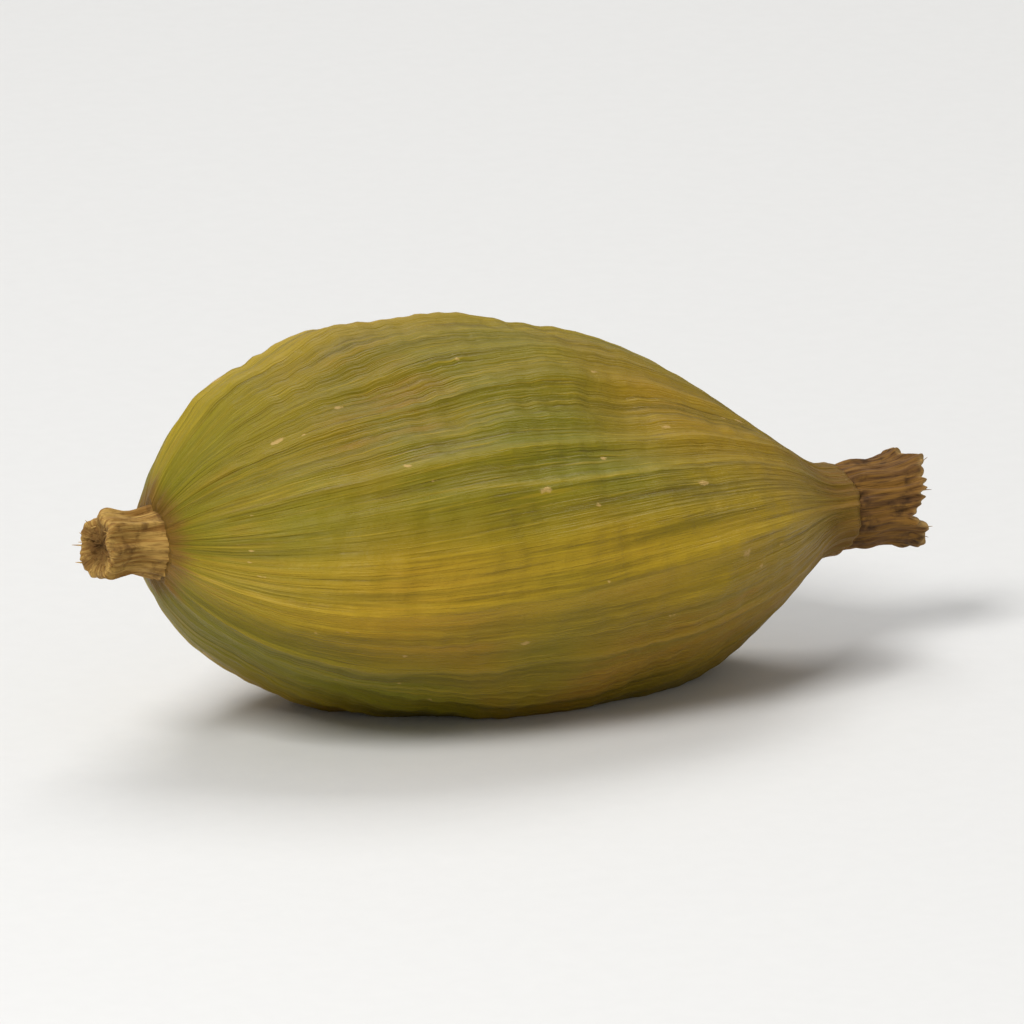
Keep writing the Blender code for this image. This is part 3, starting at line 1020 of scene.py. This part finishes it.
stalk_colours = (STALK_TAN, STALK_BROWN, BARK_BROWN)
tube_colours = (TIP_BROWN, TUBE_BROWN, TUBE_DARK)
stub.data.materials.append(strand_finish("stalk_finish", 9, stalk_colours, 0.75, darker_cup))
tube.data.materials.append(strand_finish("flower_tube_finish", 12, tube_colours, 0.8, dark_inside))


# %% [markdown]
# ## The torn fibres' finish
#
# A single torn fibre is pale where it is clean and brown where it is dirty. At a few hundredths
# of a millimetre there is no room for strands, so one fine noise does it all.

# %% Fibre finish
def fibre_finish(name, light, dark):
    """Pale and dark lengths along each fibre, from noise in the piece's own space."""
    material, tree, shader = new_finish(name, 0.7)
    shade = noise(tree, object_place(tree), 6000, 3.0)
    colour = blended(tree, remap(tree, shade, 0.42, 0.62), light, dark)
    tree.links.new(colour, shader.inputs["Base Color"])
    add_bump(tree, shader, shade, 0.004 * MM)
    return material


stalk_fibres.data.materials.append(fibre_finish("stalk_fibre_finish", STALK_TAN, STALK_BROWN))
tube_fibres.data.materials.append(fibre_finish("tube_fibre_finish", CORK, TUBE_BROWN))
print("finishes:", sorted(name for name in bpy.data.materials.keys() if name.endswith("finish")))

# %% [markdown]
# ## Riding on the frame
#
# Each fine piece stands for one CAD node, which is then hidden, and rides on the one body that
# a pod without joints has. The torn fibres only add to the piece that they grow from.

# %% Frame
STANDS_FOR = {husk: "husk", stub: "stalk_stub", tube: "flower_tube"}
SLOTS = {husk: "husk", stub: "stalk", stalk_fibres: "stalk", tube: "flower_tube", tube_fibres: "flower_tube"}
for piece, slot in SLOTS.items():
    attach(piece, "root")
for piece, node in STANDS_FOR.items():
    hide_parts(node)
print(len(SLOTS), "pieces ride on the frame")

# %% [markdown]
# ## Floor
#
# The pod lies on a plain pale sheet. A grain too faint to notice keeps it from looking like an
# empty background.

# %% Floor
FLOOR_SIDE = 3.0
PAPER_LIGHT = (0.74, 0.735, 0.72, 1)
PAPER_SHADE = (0.71, 0.705, 0.69, 1)


def floor_finish():
    """Two near whites, mixed by a fine noise."""
    material, tree, shader = new_finish("floor_finish", 0.75)
    grain = noise(tree, object_place(tree), 2500, 3.0)
    tree.links.new(blended(tree, grain, PAPER_LIGHT, PAPER_SHADE), shader.inputs["Base Color"])
    return material


half = FLOOR_SIDE / 2
floor_corners = np.array([(-half, -half, 0), (half, -half, 0), (half, half, 0), (-half, half, 0)])
floor = mesh_from_arrays("floor", floor_corners, np.array([[0, 1, 2, 3]]), np.empty((0, 3), int))
floor.data.materials.append(floor_finish())

# %% [markdown]
# ## Light
#
# A large soft light high on the left models the keel, a weak one fills the right side, and one
# behind lifts the outline off the floor. A light is soft by its size next to the subject, and
# beside a 15 mm pod a panel of a few centimetres is already a wide window.

# %% Lights
POD_CENTRE = (cad_low + cad_high) / 2
ROOM_STRENGTH = 0.34


def away_from_pod(azimuth, elevation):
    """Direction from the pod. Azimuth 0 is in front of it, and -90 at its stalk end."""
    around, up = math.radians(azimuth), math.radians(elevation)
    return Vector((math.sin(around) * math.cos(up), -math.cos(around) * math.cos(up), math.sin(up)))


def aimed_at_pod(name, data, away, distance):
    """An object that looks at the pod from a distance."""
    obj = bpy.data.objects.new(name, data)
    obj.location = POD_CENTRE + away * distance
    obj.rotation_mode = "QUATERNION"
    obj.rotation_quaternion = away.to_track_quat("Z", "Y")
    bpy.context.scene.collection.objects.link(obj)
    return obj


def soft_light(name, azimuth, elevation, distance, side, watts):
    """A square panel that faces the pod."""
    panel = bpy.data.lights.new(name, "AREA")
    panel.size, panel.energy = side, watts
    aimed_at_pod(name, panel, away_from_pod(azimuth, elevation), distance).visible_camera = False


soft_light("key_light", azimuth=-60, elevation=46, distance=0.16, side=0.06, watts=0.20)
soft_light("back_light", azimuth=150, elevation=58, distance=0.16, side=0.10, watts=0.12)
soft_light("fill_light", azimuth=50, elevation=20, distance=0.20, side=0.14, watts=0.006)
studio = bpy.data.worlds.new("studio")
studio.use_nodes = True
studio.node_tree.nodes["Background"].inputs["Color"].default_value = (1, 1, 1, 1)
studio.node_tree.nodes["Background"].inputs["Strength"].default_value = ROOM_STRENGTH
bpy.context.scene.world = studio
bpy.context.scene.view_settings.view_transform = "Standard"
print(len(bpy.data.lights), "lights")

# %% [markdown]
# ## Camera
#
# A long lens looks down a little from the front, past the stalk end, so the pod is seen almost
# side-on with its perspective flat.

# %% Camera
CAMERA_AZIMUTH = -28
CAMERA_ELEVATION = 15.5
CAMERA_DISTANCE = 0.21
FRAME_WIDTH = 0.0165
SENSOR_WIDTH = 36

lens = bpy.data.cameras.new("camera")
lens.sensor_width = SENSOR_WIDTH
lens.lens = SENSOR_WIDTH * CAMERA_DISTANCE / FRAME_WIDTH
lens.clip_start, lens.clip_end = 0.01, 10
camera_side = away_from_pod(CAMERA_AZIMUTH, CAMERA_ELEVATION)
bpy.context.scene.camera = aimed_at_pod("camera", lens, camera_side, CAMERA_DISTANCE)
print("lens of", round(lens.lens), "mm")
